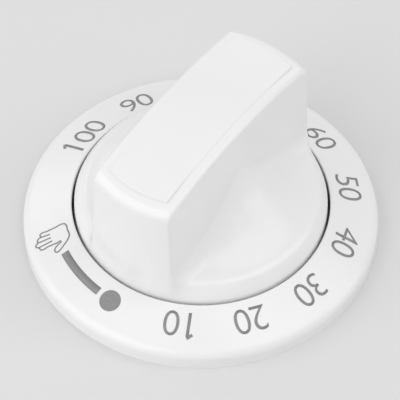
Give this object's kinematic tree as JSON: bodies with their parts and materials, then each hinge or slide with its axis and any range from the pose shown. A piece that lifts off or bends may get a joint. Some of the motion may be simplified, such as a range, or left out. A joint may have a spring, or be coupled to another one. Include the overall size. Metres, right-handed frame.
{
  "type": "oven timer control knob",
  "caption": "Bar-grip oven timer knob with a sloping printed minute dial ring, made to push onto a D-shaped timer shaft.",
  "frame": {"origin": "on the shaft axis, in the plane of the dial ring's back edge, which faces the oven panel", "axes": "+Z along the shaft axis, away from the panel and towards the user; +Y along the bar grip; -Y is the end that points at zero on the dial; +X is the side of the shaft's flat"},
  "size_m": [0.062, 0.062, 0.0311],
  "materials": {
    "knob_white": "glossy moulded plastic",
    "dial_white": "glossy moulded plastic",
    "spring_steel": "bright rolled strip"
  },
  "bodies": {
    "root": {"knob_body": "knob_white", "dial_ring": "dial_white", "hub_clip": "spring_steel"}
  },
  "joints": []
}
